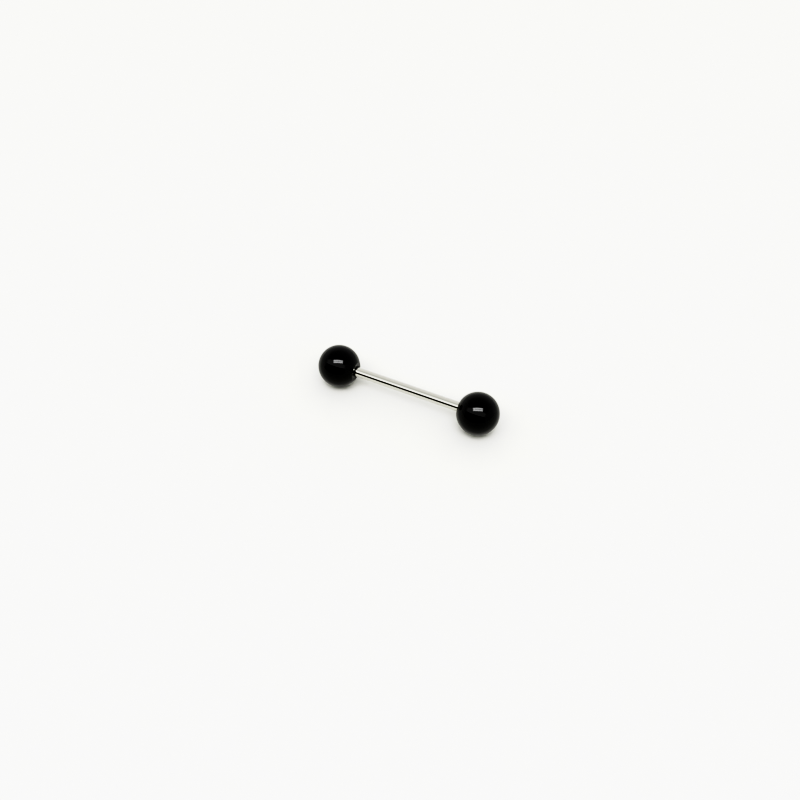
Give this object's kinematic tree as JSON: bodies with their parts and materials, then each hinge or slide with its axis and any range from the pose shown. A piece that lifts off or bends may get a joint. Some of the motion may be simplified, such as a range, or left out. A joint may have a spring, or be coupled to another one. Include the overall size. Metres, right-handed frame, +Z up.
{
  "type": "tongue barbell",
  "caption": "Straight body jewellery bar with a ball that comes off at each end, worn through a piercing.",
  "frame": {"origin": "on the surface the balls rest on, under the bar, midway between the two balls", "axes": "+X along the bar from the left ball to the right ball, +Y away from the viewer, +Z up"},
  "size_m": [0.0272, 0.006, 0.006],
  "materials": {
    "polished_steel": "mirror polished surgical steel",
    "black_acrylic": "high gloss"
  },
  "bodies": {
    "bar": {"bar": "polished_steel"},
    "ball_left": {"ball_left": "black_acrylic"},
    "ball_right": {"ball_right": "black_acrylic"}
  },
  "joints": [
    {"name": "unscrew_left", "type": "slide", "parent": "bar", "child": "ball_left", "axis": [-1, 0, 0], "range_m": [0, 0.024]},
    {"name": "unscrew_right", "type": "slide", "parent": "bar", "child": "ball_right", "axis": [1, 0, 0], "range_m": [0, 0.024]}
  ]
}
